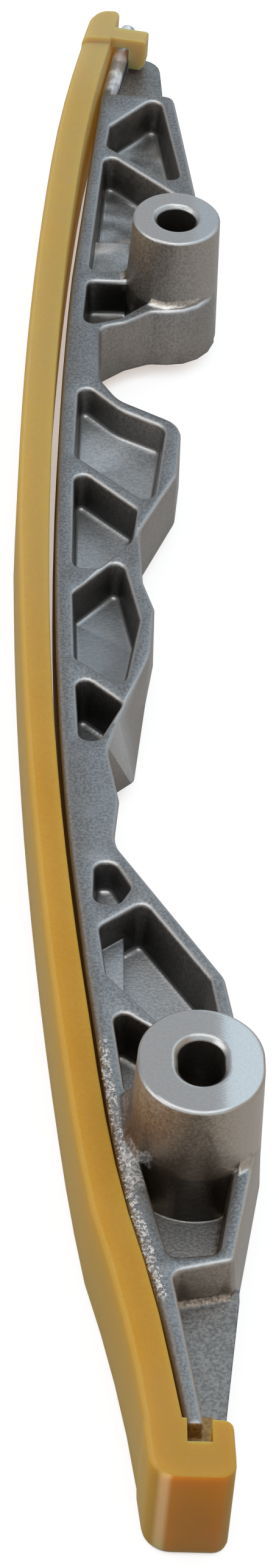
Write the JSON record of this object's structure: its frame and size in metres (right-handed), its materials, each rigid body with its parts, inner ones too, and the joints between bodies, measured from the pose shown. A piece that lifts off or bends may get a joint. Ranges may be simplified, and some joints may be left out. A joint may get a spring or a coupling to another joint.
{
  "type": "timing chain guide",
  "caption": "Curved timing chain guide: ribbed die-cast support with a round-bore boss, a slotted boss and a clipped-on nylon slide liner.",
  "frame": {"origin": "centre of the round bore on its machined face", "axes": "+Z out of the machined faces, +Y from the slotted boss toward the round bore, slide face toward -X"},
  "size_m": [0.0363, 0.3351, 0.0272],
  "materials": {
    "casting": "satin",
    "liner": "satin"
  },
  "bodies": {
    "root": {"support_casting": "casting", "slide_liner": "liner"}
  },
  "joints": []
}
